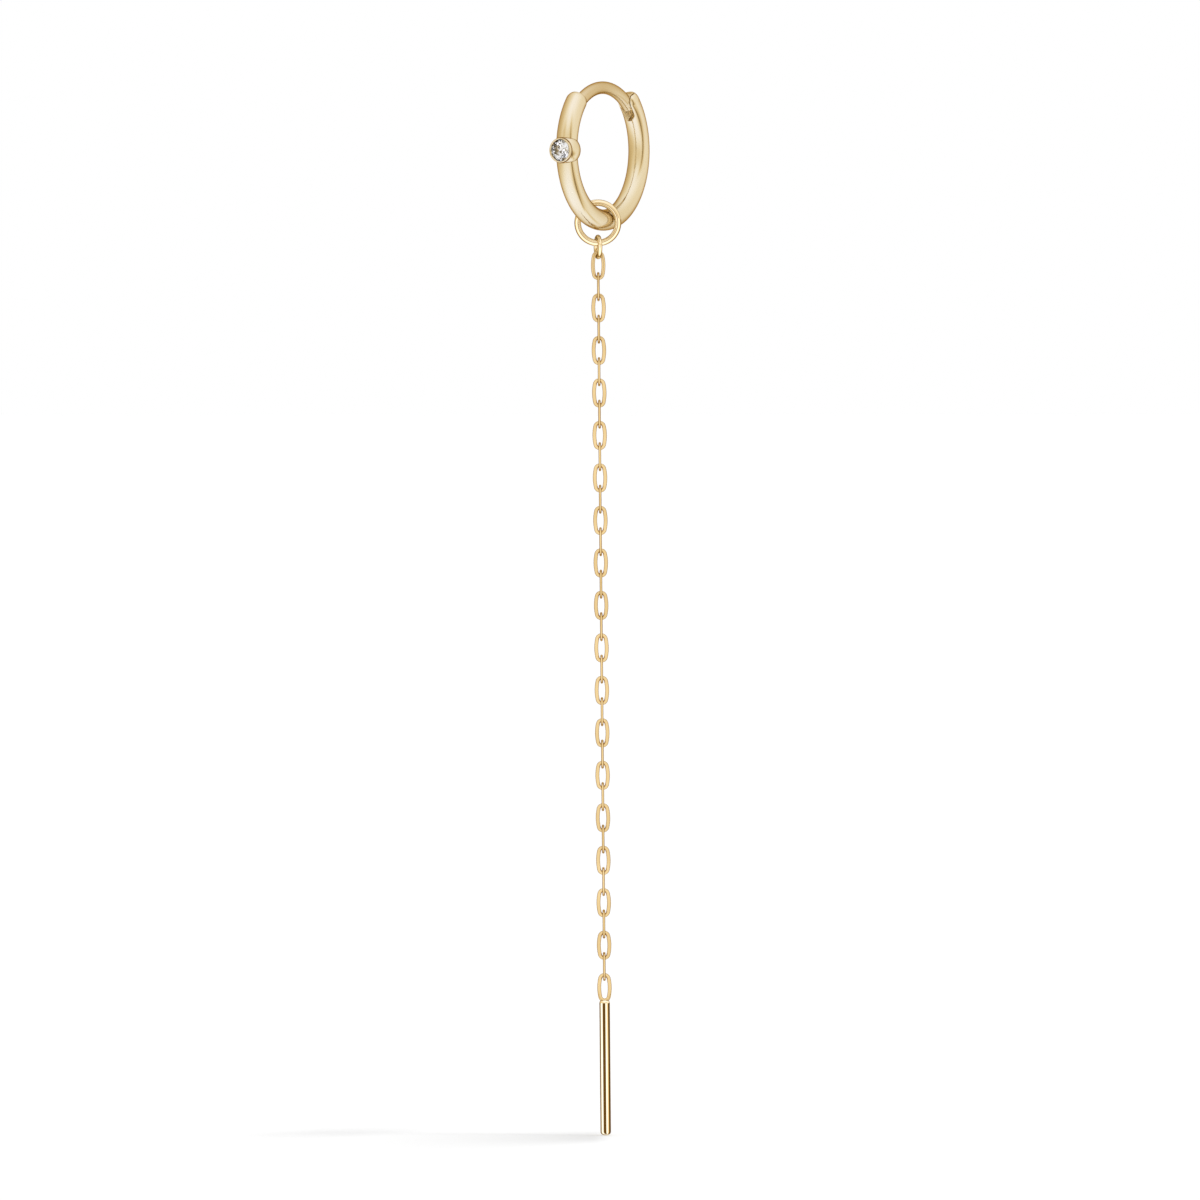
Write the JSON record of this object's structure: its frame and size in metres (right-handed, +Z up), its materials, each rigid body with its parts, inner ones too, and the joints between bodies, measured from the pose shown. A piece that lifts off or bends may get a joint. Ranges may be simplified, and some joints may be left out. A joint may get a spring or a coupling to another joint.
{
  "type": "chain drop hoop earring",
  "caption": "Small hinged hoop earring with a bezel-set round stone, a jump ring, a fine cable chain and a slim round bar drop.",
  "frame": {"origin": "top centre of the ear wire's round section, where the earring hangs in the piercing", "axes": "+Z up; -Y forward, the way the stone faces; the hoop lies in the YZ plane with the chain hanging below it"},
  "size_m": [0.0028, 0.0114, 0.0727],
  "materials": {
    "gold": "polished pale yellow gold",
    "chain_gold": "polished yellow gold",
    "stone": "polished facets"
  },
  "bodies": {
    "hoop": {"hoop_body": "gold", "stone": "stone", "hinge_pin": "gold", "jump_ring": "gold", "connector_ring": "chain_gold", "chain_link_01": "chain_gold", "chain_link_02": "chain_gold", "chain_link_03": "chain_gold", "chain_link_04": "chain_gold", "chain_link_05": "chain_gold", "chain_link_06": "chain_gold", "chain_link_07": "chain_gold", "chain_link_08": "chain_gold", "chain_link_09": "chain_gold", "chain_link_10": "chain_gold", "chain_link_11": "chain_gold", "chain_link_12": "chain_gold", "chain_link_13": "chain_gold", "chain_link_14": "chain_gold", "chain_link_15": "chain_gold", "chain_link_16": "chain_gold", "chain_link_17": "chain_gold", "chain_link_18": "chain_gold", "chain_link_19": "chain_gold", "chain_link_20": "chain_gold", "chain_link_21": "chain_gold", "chain_link_22": "chain_gold", "chain_link_23": "chain_gold", "chain_link_24": "chain_gold", "chain_link_25": "chain_gold", "chain_link_26": "chain_gold", "chain_link_27": "chain_gold", "chain_link_28": "chain_gold", "chain_link_29": "chain_gold", "chain_link_30": "chain_gold", "chain_link_31": "chain_gold", "chain_link_32": "chain_gold", "chain_link_33": "chain_gold", "chain_link_34": "chain_gold"},
    "ear_wire": {"ear_arm": "gold"},
    "drop": {"drop_bar": "gold"}
  },
  "joints": [
    {"name": "ear_wire_hinge", "type": "hinge", "parent": "hoop", "child": "ear_wire", "pos_m": [0, 0.00337, -0.00091], "axis": [-1, 0, 0], "range_deg": [0, 50]},
    {"name": "drop_swing", "type": "hinge", "parent": "hoop", "child": "drop", "pos_m": [-0.00017, -0.0005, -0.0615], "axis": [-0.5135, 0.8581, 0], "range_deg": [-90, 90]}
  ]
}
